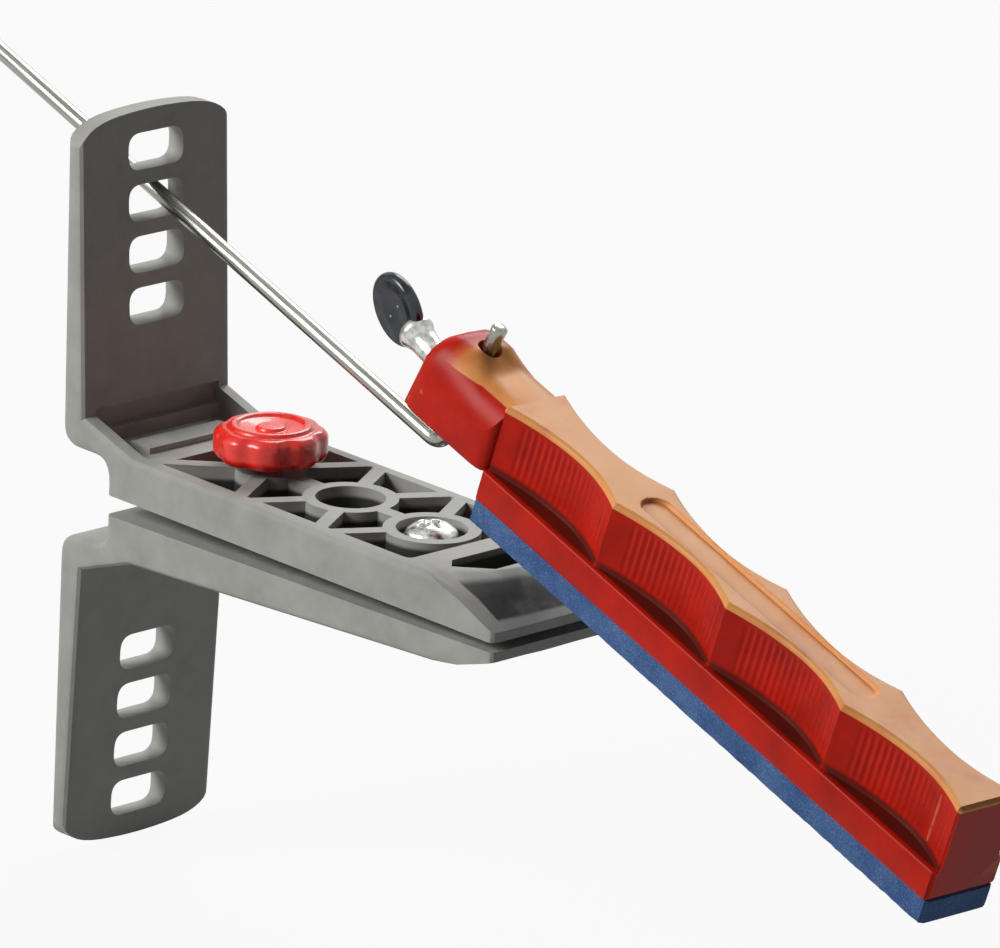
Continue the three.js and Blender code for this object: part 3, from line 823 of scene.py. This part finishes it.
@dataclass
class ClampKnob:
    """Lobed red knob with a ringed face, moulded on a threaded stud."""

    radius: float = 8.5
    lobes: int = 8
    scallop: float = 0.55
    face_radius: float = 6.2
    height: float = 4.6
    bead_rise: float = 0.6
    dish_radius: float = 2.3
    button_radius: float = 2.0
    button_rise: float = 0.35
    stud: Thread = Thread(2.0, 0.34, 0.8)
    segments: int = 240

    def build(self) -> None:
        """Builds the knob and its stud."""
        axes = upright_axes("knob_turn")
        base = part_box("clamp_knob")[0][2] / MM
        rings = self._lobed(revolved(filled_path(self._profile(), 0.18), self.segments))
        rings[..., 2] += base
        knob = closed_mesh("clamp_knob_moulding", rings, axes, 60.0)
        finish_piece(knob, Body.KNOB, "knob_plastic", KnobPlastic(), "clamp_knob")
        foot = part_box("clamp_stud")[0][2] / MM
        self.stud.build("clamp_stud_thread", axes, foot, base + 0.4, Body.KNOB, "clamp_stud")

    def _profile(self) -> Array:
        """Half section of the knob: underside, rim, raised bead, dished face and centre button."""
        top, bead, outer = self.height, self.face_radius, self.radius
        face, button = top + self.bead_rise, top + self.button_rise
        corners = [(0.01, 0.0), (outer - 0.7, 0.0), (outer, 0.8), (outer, top - 0.9), (outer - 0.9, top)]
        corners += [(bead + 0.2, top), (bead - 0.2, face), (bead - 1.0, face), (bead - 1.5, top + 0.1)]
        corners += [(self.dish_radius, top - 0.25), (self.button_radius, button - 0.1), (0.01, button)]
        return eased_path(corners, [0.3, 0.5, 0.5, 0.4, 0.2, 0.25, 0.25, 0.2, 0.15, 0.15], 5)

    def _lobed(self, rings: Array) -> Array:
        """Draws the rim in between the lobes: r falls by scallop (0.5 - 0.5 cos(lobes a))^2."""
        x, y = rings[..., 0], rings[..., 1]
        radius, angle = np.hypot(x, y), np.arctan2(y, x)
        dip = self.scallop * (0.5 - 0.5 * np.cos(self.lobes * angle)) ** 2
        share = smooth_step(self.face_radius + 0.2, self.radius - 0.6, radius)
        scale = 1.0 - dip * share / np.maximum(radius, 0.01)
        return np.stack([x * scale, y * scale, rings[..., 2]], axis=-1)


# ---- rod and hone


@dataclass
class GuideRod:
    """Bent steel rod: the long leg slides in the upright, the short one holds the hone."""

    radius: float = 1.2
    long_leg: float = 158.0
    stub: float = 23.8
    bend_radius: float = 3.2
    end_chamfer: float = 0.3
    segments: int = 40

    def build(self) -> None:
        """Carries a round section along the rod's path."""
        axes = hone_axes()
        centres, tangents = self._path()
        angle = full_turn(self.segments)[None, :, None]
        across = np.array([0.0, 1.0, 0.0])
        normal = np.cross(tangents, across)[:, None, :]
        scale = np.full(len(centres), self.radius)
        scale[0] = scale[-1] = self.radius - self.end_chamfer
        around = np.cos(angle) * across + np.sin(angle) * normal
        rings = centres[:, None, :] + scale[:, None, None] * around
        rod = closed_mesh("guide_rod_steel", rings, axes, 50.0)
        finish_piece(rod, Body.ROD, "rod_steel", DrawnSteel(), "guide_rod")

    def _path(self) -> tuple[Array, Array]:
        """The rod's centre line and its direction: a straight leg, an arc and a straight stub.

        The arc starts and ends at radius tan(turn / 2) from the crossing of the two legs.

        Returns:
            Centres and unit tangents.
        """
        lean = stub_lean()
        turn = math.pi / 2 - lean
        set_back = self.bend_radius * math.tan(turn / 2)
        start, tip = -self.long_leg, self.stub
        leg = np.linspace(start + 2.0, -set_back - 0.5, 60)
        leg = np.concatenate([[start, start + self.end_chamfer], leg])
        arc = np.linspace(0.0, turn, 24)
        rise = np.linspace(set_back + 0.5, tip - 1.0, 16)
        rise = np.concatenate([rise, [tip - self.end_chamfer, tip]])
        bend_x = self.bend_radius * np.sin(arc) - set_back
        bend_z = self.bend_radius * (1 - np.cos(arc))
        along = np.concatenate([leg, bend_x, rise * math.sin(lean)])
        up = np.concatenate([0 * leg, bend_z, rise * math.cos(lean)])
        heading = np.concatenate([0 * leg, arc, 0 * rise + turn])
        centres = np.stack([along, 0 * along, up], axis=1)
        return centres, np.stack([np.cos(heading), 0 * heading, np.sin(heading)], axis=1)


@dataclass
class HoneHolder:
    """Red moulding: a rail for the stone, a finger-grooved grip and a rounded head."""

    start: float = 14.8
    length: float = 101.6
    rail_half: float = 6.6
    rail_bottom: float = 2.1
    rail_top: float = 7.0
    grip_top: float = 17.7
    grip_half: float = 5.8
    fingers: int = 4
    finger_depth: float = 2.7
    finger_middle: float = 0.56
    ridge_pitch: float = 1.15
    ridge_depth: float = 0.16
    top_round: float = 0.7
    recess_start: float = 26.0
    recess_length: float = 50.0
    recess_half: float = 2.4
    recess_depth: float = 0.6
    end_inset: float = 0.5
    rows: int = 520
    head_front: float = -4.2
    head_half: float = 7.0
    head_bottom: float = 6.4
    head_top: float = 19.5
    head_shoulder: float = 11.5
    head_squareness: float = 9.0
    head_segments: int = 200
    crown_half: float = 1.8
    brow: float = 2.6
    brow_drop: float = 1.6
    hole_radius: float = 1.85
    sharp_degrees: float = 42.0

    def build(self) -> None:
        """Builds the grooved body and the head."""
        axes = hone_axes()
        body = closed_mesh("hone_holder_grip", self._body_rings(), axes, self.sharp_degrees)
        finish_piece(body, Body.HONE, "holder_plastic", HolderPlastic(), "hone_holder")
        head = closed_mesh("hone_holder_head", self._head_rings(), axes, self.sharp_degrees)
        self._cut_holes(head, axes)
        finish_piece(head, Body.HONE, "holder_plastic", HolderPlastic(), "hone_holder")

    def _share(self, along: Array) -> Array:
        """Place within a finger groove, from zero to one."""
        return np.clip(along / self.length, 0.0, 0.999999) * self.fingers % 1.0

    def _groove(self, along: Array) -> Array:
        """How far the side is drawn in: depth times one less the squared distance from the middle."""
        t, middle = self._share(along), self.finger_middle
        reach = np.where(t < middle, middle, 1.0 - middle)
        return self.finger_depth * (1.0 - ((t - middle) / reach) ** 2)

    def _ribs(self, along: Array, up: Array) -> Array:
        """Fine upright ribs in the grooves: a cosine along the holder that fades at each edge."""
        t = self._share(along)
        wave = 0.5 - 0.5 * np.cos(TURN * along / self.ridge_pitch)
        inside = smooth_step(0.11, 0.17, t) * (1.0 - smooth_step(0.90, 0.97, t))
        tall = smooth_step(0.05, 0.12, up) * (1.0 - smooth_step(0.86, 0.95, up))
        return self.ridge_depth * wave * inside * tall

    def _body_rings(self) -> Array:
        """Sections of the rail and grip from the head to the tail.

        Each section runs from the middle of the underside, round the rail, up the grip's wall
        and over its top. The wall's distance from the middle plane is the grip's half width less
        the groove and the ribs, and the top sinks inside the long recess.

        Returns:
            Points as sections, points round, 3.
        """
        ease = np.array([0.0, 0.12, 0.5])
        along = np.linspace(0.7, self.length - 0.7, self.rows)
        along = np.concatenate([ease, along, self.length - ease[::-1]])
        from_end = np.minimum(along, self.length - along)[:, None]
        inset = self.end_inset * (1.0 - smooth_step(0.0, 0.5, from_end))
        half = (self.grip_half - self._groove(along))[:, None]
        low, high, top = self.rail_bottom, self.rail_top, self.grip_top
        corner_v = self.rail_half - np.array([0.4, 0.18, 0.05, 0.0])
        rail_v = np.concatenate([[0.0, 3.0], corner_v, corner_v[::-1]])
        lower_w = low + np.array([0.0, 0.0, 0.0, 0.06, 0.2, 0.45])
        rail_w = np.concatenate([lower_w, high - np.array([0.4, 0.15, 0.05, 0.0])])
        foot_v = np.concatenate([half + 0.45, half + 0.12], axis=1)
        up = np.linspace(0.0, 1.0, 26)
        wall_low, wall_high = high + 0.45, top - self.top_round
        wall_v = half - self._ribs(along[:, None], up)
        wall_w = wall_low + (wall_high - wall_low) * up
        quarter = np.linspace(0.0, math.pi / 2, 7)[1:-1]
        edge_v = half - self.top_round * (1.0 - np.cos(quarter))
        edge_w = wall_high + self.top_round * np.sin(quarter)
        top_v = (half - self.top_round) * np.linspace(1.0, 0.0, 34)
        top_w = top - self.recess_depth * self._recess(along[:, None], top_v)
        v = np.concatenate([rail_v + 0.0 * half, foot_v, wall_v, edge_v, top_v], axis=1)
        side_w = np.concatenate([rail_w, [high, high + 0.13], wall_w, edge_w])
        w = np.concatenate([side_w + 0.0 * half, top_w], axis=1)
        middle = 0.5 * (low + top)
        v = v * (1.0 - inset / self.rail_half)
        w = w + inset * np.sign(middle - w) * (np.abs(middle - w) > 4.0)
        v = np.concatenate([v, -v[:, -2:0:-1]], axis=1)
        w = np.concatenate([w, w[:, -2:0:-1]], axis=1)
        u = np.repeat((self.start + along)[:, None], v.shape[1], axis=1)
        return np.stack([u, v, w], axis=-1)

    def _recess(self, along: Array, across: Array) -> Array:
        """One inside the long shallow recess in the top, and zero outside, with soft walls."""
        middle = self.recess_start + self.recess_length / 2
        beyond_x = np.abs(along - middle) - (self.recess_length / 2 - self.recess_half)
        distance = np.hypot(np.maximum(beyond_x, 0.0), across) - self.recess_half
        return 1.0 - smooth_step(-0.18, 0.10, distance)

    def _head_rings(self) -> Array:
        """The head: a top that is a function of place, and a skirt down to the underside.

        The plan is a rounded rectangle, drawn as a ninth-power superellipse. The top's height
        is the lower of the profile along the hone and the ellipse across it, and the front leans
        with the rod's short leg.

        Returns:
            Points as rings, points round, 3.
        """
        angle = full_turn(self.head_segments)
        power = 2.0 / self.head_squareness
        rim_x = np.sign(np.cos(angle)) * np.abs(np.cos(angle)) ** power
        rim_y = np.sign(np.sin(angle)) * np.abs(np.sin(angle)) ** power
        back = self.start + 0.6
        half_length = (back - self.head_front) / 2
        rim_share = 1.0 - 0.1 * np.linspace(1.0, 0.0, 14)[1:] ** 2
        share = np.concatenate([np.linspace(0.0, 0.9, 46)[1:], rim_share])[:, None]
        middle, foot = half_length + self.head_front, self.head_bottom + 0.5
        u = share * rim_x * half_length + middle
        v = share * rim_y * self.head_half
        w = self._head_height(u, v)
        down = np.linspace(0.0, 1.0, 20)[1:, None]
        under = np.array([0.35, 0.8])[:, None]
        u = np.concatenate([u, u[-1] + 0.0 * down, (u[-1] - middle) * (1 - 0.05 * under) + middle])
        w = np.concatenate([w, w[-1] + (foot - w[-1]) * down, foot - 0.62 * under + 0.0 * w[-1]])
        v = np.concatenate([v, v[-1] + 0.0 * down, v[-1] * (1 - 0.06 * under)])
        forward = 1.0 - smooth_step(self.head_front, self.start - 5.0, u)
        u = u + math.tan(stub_lean()) * (w - self.head_bottom) * forward
        return np.stack([u, v, w], axis=-1)

    def _head_height(self, u: Array, v: Array) -> Array:
        """Height of the head's top over a point.

        Along the hone it is level over the rod and eases down to the grip. Across it falls on an
        ellipse from the crown to the shoulder, and the front rounds over in the same way.

        Args:
            u: Distance along the hone.
            v: Distance across it.

        Returns:
            Heights.
        """
        ridge = self.head_top - (self.head_top - self.grip_top) * smooth_step(2.0, 9.0, u)
        side = np.clip((np.abs(v) - self.crown_half) / (self.head_half - self.crown_half), 0.0, 1.0)
        fall = (ridge - self.head_shoulder) * (1.0 - np.sqrt(1.0 - side**2.2))
        front = np.clip((self.head_front + self.brow - u) / self.brow, 0.0, 1.0)
        return ridge - fall - self.brow_drop * (1.0 - np.sqrt(1.0 - front**2))

    def _cut_holes(self, head: Object, axes: Axes) -> None:
        """Bores the head for the rod's short leg and for the thumb screw."""
        stub = unit(joint("hone_swing")["axis"])
        bore = Axes(axes.origin, np.cross(axes.y, stub), axes.y, stub)
        straight = np.array([(self.hole_radius, -3.0), (self.hole_radius, 34.0)])
        flare = np.array([(2.2, 0.0), (2.2, 7.4), (2.8, 9.0), (2.8, 14.0)])
        for profile, place in ((straight, bore), (flare, thumb_axes())):
            cut(head, closed_mesh("bore", revolved(profile, 48), place, 35.0))
        head.data.shade_smooth()
        head.data.set_sharp_from_angle(angle=math.radians(self.sharp_degrees))


@dataclass
class HoneStone:
    """Blue abrasive bar with slightly worn corners, glued under the rail."""

    start: float = 14.8
    length: float = 101.6
    half: float = 6.35
    bottom: float = -1.8
    top: float = 2.12
    corner: float = 0.45
    chip: float = 0.10
    end_shrink: float = 0.07
    rows: int = 300

    def build(self) -> None:
        """Carries a rounded rectangle along the stone, with small chips at its corners."""
        axes = hone_axes()
        half, bottom, top = self.half, self.bottom, self.top
        corners = [(0.0, bottom), (half, bottom), (half, top), (0.0, top)]
        side = filled_path(eased_path(corners, [self.corner, self.corner], 6), 0.6)
        section = np.concatenate([side, side[-2:0:-1] * np.array([-1.0, 1.0])])
        ease, along = np.array([0.0, 0.15, 0.4]), np.linspace(0.9, self.length - 0.9, self.rows)
        along = np.concatenate([ease, along, self.length - ease[::-1]])
        from_end = np.minimum(along, self.length - along)
        shrink = (1.0 - self.end_shrink * (1.0 - smooth_step(0.0, 0.4, from_end)))[:, None]
        rng = np.random.default_rng(7)
        phase = rng.uniform(0.0, TURN, 6)
        rate = rng.uniform(0.25, 2.2, 6)
        wobble = np.sin(along[:, None] * rate + phase).mean(axis=1)
        section_v, section_w = section.T
        edge = np.exp(-((np.abs(section_v) - half) ** 2) / 0.5) * (section_w < bottom + 0.6)
        nick = np.abs(self.chip * wobble[:, None] * edge)
        v = (section_v - np.sign(section_v) * nick) * shrink
        middle = (bottom + top) / 2
        w = middle + (section_w - middle + nick) * shrink
        u = np.repeat((self.start + along)[:, None], len(section), axis=1)
        stone = closed_mesh("hone_stone_bar", np.stack([u, v, w], axis=-1), axes, 40.0)
        finish_piece(stone, Body.HONE, "abrasive", BlueAbrasive(), "hone_stone")


def thumb_axes() -> Axes:
    """Axes of the thumb screw: z outwards along it, x towards the rod's tip, y across the hone."""
    axis = unit(joint("thumb_screw_turn")["axis"])
    across = hone_axes().y
    return Axes(np.array(joint("thumb_screw_turn")["pos_m"]), np.cross(across, axis), across, axis)


@dataclass
class ThumbScrew:
    """Blackened thumb screw: a flat round wing on a bright flared neck and a threaded tip."""

    wing_radius: float = 5.7
    wing_half: float = 0.95
    wing_turn: float = math.radians(-13.0)
    reach: float = 18.0
    wing_round: float = 0.75
    neck: float = 2.9
    shank: Thread = Thread(1.9, 0.3, 0.7)
    tip: float = 1.5

    def build(self) -> None:
        """Builds the wing, the neck and the threaded shank."""
        axes = thumb_axes()
        face = math.cos(self.wing_turn) * axes.y - math.sin(self.wing_turn) * axes.x
        wing_axes = Axes(axes.place(np.array([0.0, 0.0, self.reach])), axes.z, np.cross(face, axes.z), face)
        rim = np.linspace(-math.pi / 2, math.pi / 2, 17)
        edge_r = self.wing_radius - self.wing_round * (1.0 - np.cos(rim))
        edge = np.stack([edge_r, self.wing_half * np.sin(rim)], axis=1)
        size = np.array([self.wing_radius, self.wing_half])
        lower = np.array([(0.25, -0.8), (0.6, -0.8)]) * size
        upper = lower[::-1] * np.array([1.0, -1.0])
        profile = filled_path(np.concatenate([lower, edge, upper]), 0.35)
        wing = closed_mesh("thumb_screw_wing", revolved(profile, 96), wing_axes, 60.0)
        finish_piece(wing, Body.THUMB, "thumb_steel", DarkSteel(), "thumb_screw")
        collar = self.reach - self.wing_radius + 0.9
        root, flare, foot = self.shank.radius, self.neck, collar - 6.2
        corners = [(0.01, foot), (root, foot), (root + 0.1, collar - 3.4), (flare - 0.7, collar - 1.4)]
        corners += [(flare, collar), (flare * 0.7, collar + 1.4), (0.01, collar + 2.0)]
        neck_path = filled_path(eased_path(corners, [0.2, 1.2, 0.9, 0.6, 0.8], 7), 0.3)
        neck = closed_mesh("thumb_screw_neck", revolved(neck_path, 64), axes, 60.0)
        finish_piece(neck, Body.THUMB, "plated_steel", PlatedSteel(), "thumb_screw")
        self.shank.build("thumb_screw_shank", axes, self.tip, collar - 5.6, Body.THUMB, "thumb_screw")


# ---- studio


@dataclass(frozen=True)
class SoftLamp:
    """A square lamp that faces the target, with its distance and side in metres and its watts."""

    name: str
    towards: tuple[float, float, float]
    size: float
    watts: float
    distance: float = 0.9

    def build(self, target: Vector) -> None:
        """Hangs the lamp in its direction from the target and turns it to face there."""
        light = bpy.data.lights.new(self.name, "AREA")
        light.size, light.energy = self.size, self.watts
        lamp = added(self.name, light)
        direction = Vector(self.towards).normalized()
        lamp.location = target + self.distance * direction
        lamp.rotation_euler = direction.to_track_quat("Z", "Y").to_euler()


@dataclass
class Studio:
    """Pale floor, pale surroundings, soft lamps and the camera."""

    azimuth: float = 45.94
    elevation: float = 17.18
    roll: float = 1.863
    distance: float = 1351.0
    lens: float = 339.57
    target: tuple[float, float, float] = (31.27, 0.0, 25.90)
    floor_reach: float = 30.0
    floor_drop: float = 0.001
    floor_colour: Colour = (0.32, 0.32, 0.32)
    floor_glow: float = 0.93
    sky: Colour = (0.8, 0.8, 0.8)
    ambient: float = 0.035
    lamps: tuple[SoftLamp, ...] = (
        SoftLamp("key_lamp", (-0.42, -0.84, 0.55), 0.40, 6.8),
        SoftLamp("top_lamp", (-0.37, 0.65, 0.68), 0.55, 5.5),
    )

    def build(self, low: Vector) -> None:
        """Builds the whole studio.

        Args:
            low: The object's lowest corner, in metres.
        """
        self._floor(low[2] - self.floor_drop)
        self._world()
        for lamp in self.lamps:
            lamp.build(MM * Vector(self.target))
        self._camera()

    def _floor(self, height: float) -> None:
        """A wide floor: pale to what is seen or reflected, grey to the light, so its shadow shows."""
        reach = self.floor_reach
        mesh = bpy.data.meshes.new("floor")
        signs = ((-1, -1), (1, -1), (1, 1), (-1, 1))
        mesh.from_pydata([(reach * x, reach * y, height) for x, y in signs], [], [(0, 1, 2, 3)])
        floor = added("floor", mesh)
        bench = Bench(bpy.data.materials.new("pale_floor"))
        bench.coat(Base_Color=self.floor_colour, Roughness=0.9)
        glow = bench.node("ShaderNodeEmission", {}, {"Color": (1.0, 1.0, 1.0), "Strength": 1.0})
        inputs = {0: bench.seen() * self.floor_glow, 1: bench.shader.outputs[0], 2: glow.outputs[0]}
        mix = bench.node("ShaderNodeMixShader", {}, inputs)
        bench.feed(bench.tree.nodes["Material Output"], {"Surface": mix.outputs[0]})
        mesh.materials.append(bench.made)
        floor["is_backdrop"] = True

    def _world(self) -> None:
        """Surroundings that look pale to the camera and to gloss, and light the object softly."""
        world = bpy.data.worlds.new("studio")
        bench = Bench(world)
        strength = bench.seen().between(0.0, 1.0, self.ambient, 1.0)
        bench.feed(bench.tree.nodes["Background"], {"Color": self.sky, "Strength": strength})
        bpy.context.scene.world = world

    def _camera(self) -> None:
        """A long lens, placed by azimuth, elevation, roll and distance from the target."""
        azimuth, elevation, roll = map(math.radians, (self.azimuth, self.elevation, self.roll))
        level = math.cos(elevation)
        ahead = Vector((-math.sin(azimuth) * level, math.cos(azimuth) * level, -math.sin(elevation)))
        right = Vector((math.cos(azimuth), math.sin(azimuth), 0.0))
        up = right.cross(ahead)
        camera_x = math.cos(roll) * right + math.sin(roll) * up
        camera_y = math.cos(roll) * up - math.sin(roll) * right
        turned = Matrix((camera_x, camera_y, -ahead)).transposed().to_4x4()
        data = bpy.data.cameras.new("camera")
        data.lens = self.lens
        data.sensor_width = 36.0
        data.clip_end = 100.0
        camera = added("camera", data)
        place = MM * (Vector(self.target) - self.distance * ahead)
        camera.matrix_world = Matrix.Translation(place) @ turned
        bpy.context.scene.camera = camera


def main() -> None:
    """Builds every piece and the studio, in order."""
    logging.basicConfig(level=logging.INFO, format="%(name)s %(message)s")
    cad_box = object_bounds()
    bpy.context.scene.view_settings.view_transform = "Standard"
    lower_finish = CastAluminium(name="cast_aluminium_lower", pocket_low=1.6, pocket_high=3.3)
    clamp_and_hone = [
        ClampHalf("lower_clamp_half", "lower_casting", Body.LOWER, lower_finish),
        ClampHalf("upper_clamp_half", "upper_casting", Body.UPPER, CastAluminium()),
        JawScrew(),
        ClampKnob(),
        GuideRod(),
        HoneHolder(),
        HoneStone(),
        ThumbScrew(),
    ]
    for part in clamp_and_hone:
        part.build()
    Studio().build(cad_box[0])


if __name__ == "__main__":
    main()
